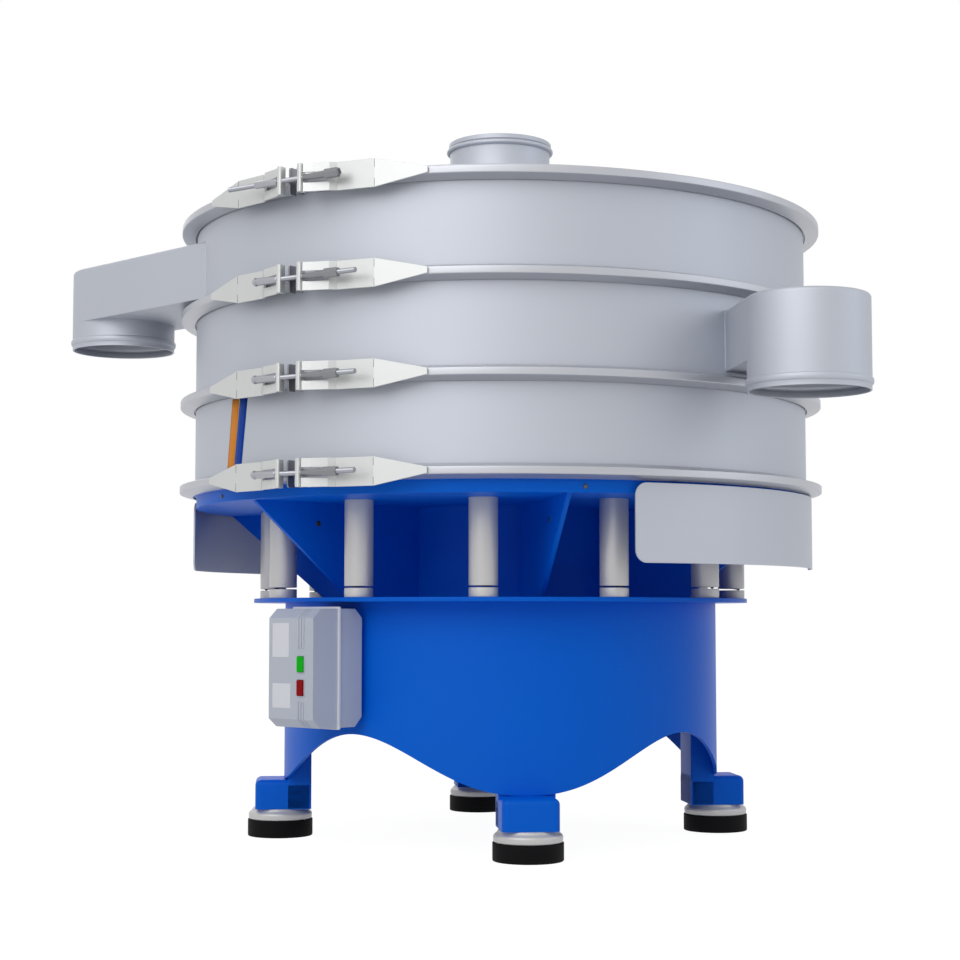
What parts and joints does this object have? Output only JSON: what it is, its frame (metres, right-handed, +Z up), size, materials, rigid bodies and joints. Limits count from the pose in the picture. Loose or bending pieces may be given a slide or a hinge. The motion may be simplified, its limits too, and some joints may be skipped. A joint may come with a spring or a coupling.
{
  "type": "vibrating sieve",
  "caption": "Round vibrating sieve: a stack of clamped screen decks with side outlets under a domed lid, standing on springs over a round base with arches and feet.",
  "frame": {"origin": "middle of the outline's footprint, on the floor under the feet", "axes": "+Z up along the inlet, -Y towards the side with the starter box and the clamps"},
  "size_m": [1.542, 1.6308, 1.391],
  "materials": {
    "blue_paint": "smooth gloss enamel",
    "stainless": "satin stainless sheet",
    "bright_steel": "fine turned stainless",
    "black_rubber": "moulded matt rubber",
    "pale_rubber": "matt silicone",
    "spring_steel": "oiled spring wire",
    "motor_paint": "dark enamel",
    "shaft_steel": "ground",
    "weight_iron": "machined plate",
    "box_paint": "pale grey enamel",
    "green_plastic": "moulded",
    "red_plastic": "moulded",
    "screen_wire": "woven wire",
    "clear_cover": "clear plate"
  },
  "bodies": {
    "base": {"base_drum": "blue_paint", "legs": "blue_paint", "foot_pads": "black_rubber", "foot_caps": "bright_steel", "spring_seats": "bright_steel", "springs": "spring_steel", "box_bracket": "blue_paint", "box_body": "box_paint", "box_cover": "box_paint"},
    "vibrating_stack": {"band_spacers": "bright_steel", "bottom_frame": "stainless", "clamp_bolts": "bright_steel", "clamp_lugs": "bright_steel", "clamp_ring_1": "stainless", "clamp_ring_2": "stainless", "clamp_ring_3": "stainless", "clamp_ring_4": "stainless", "discharge_dome": "stainless", "flange_gaskets": "pale_rubber", "lid": "stainless", "lower_screen": "screen_wire", "middle_frame": "stainless", "motor_body": "motor_paint", "name_bands": "stainless", "port_cover": "clear_cover", "spring_sleeves": "bright_steel", "table": "blue_paint", "top_frame": "stainless", "upper_screen": "screen_wire"},
    "rotor": {"motor_shaft": "shaft_steel", "upper_weight": "weight_iron"},
    "lower_weight": {"lower_weight": "weight_iron"},
    "start_button": {"start_button": "green_plastic"},
    "stop_button": {"stop_button": "red_plastic"},
    "clamp_nut_1": {"clamp_nut_1": "bright_steel"},
    "clamp_nut_2": {"clamp_nut_2": "bright_steel"},
    "clamp_nut_3": {"clamp_nut_3": "bright_steel"},
    "clamp_nut_4": {"clamp_nut_4": "bright_steel"}
  },
  "joints": [
    {"name": "deck_bounce", "type": "slide", "parent": "base", "child": "vibrating_stack", "axis": [0, 0, 1], "range_m": [-0.0025, 0.005], "stiffness_N_per_m": 180000, "springref_m": 0.02542, "deforming": ["springs"]},
    {"name": "rotor_spin", "type": "hinge", "parent": "vibrating_stack", "child": "rotor", "pos_m": [0.13101, -0.09857, 0.45], "axis": [0, 0, 1], "continuous": true},
    {"name": "lower_weight_lead", "type": "hinge", "parent": "rotor", "child": "lower_weight", "pos_m": [0.13101, -0.09857, 0.287], "axis": [0, 0, 1], "range_deg": [-90, 0]},
    {"name": "start_press", "type": "slide", "parent": "base", "child": "start_button", "axis": [0.6691, 0.7431, 0], "range_m": [0, 0.003], "stiffness_N_per_m": 400, "springref_m": -0.002},
    {"name": "stop_press", "type": "slide", "parent": "base", "child": "stop_button", "axis": [0.6691, 0.7431, 0], "range_m": [0, 0.003], "stiffness_N_per_m": 400, "springref_m": -0.002},
    {"name": "clamp_nut_1_turn", "type": "hinge", "parent": "vibrating_stack", "child": "clamp_nut_1", "pos_m": [-0.23409, -0.65438, 0.677], "axis": [0.8358, -0.549, 0], "continuous": true},
    {"name": "clamp_nut_2_turn", "type": "hinge", "parent": "vibrating_stack", "child": "clamp_nut_2", "pos_m": [-0.23409, -0.65438, 0.845], "axis": [0.8358, -0.549, 0], "continuous": true},
    {"name": "clamp_nut_3_turn", "type": "hinge", "parent": "vibrating_stack", "child": "clamp_nut_3", "pos_m": [-0.23409, -0.65438, 1.0185], "axis": [0.8358, -0.549, 0], "continuous": true},
    {"name": "clamp_nut_4_turn", "type": "hinge", "parent": "vibrating_stack", "child": "clamp_nut_4", "pos_m": [-0.23409, -0.65438, 1.192], "axis": [0.8358, -0.549, 0], "continuous": true}
  ]
}
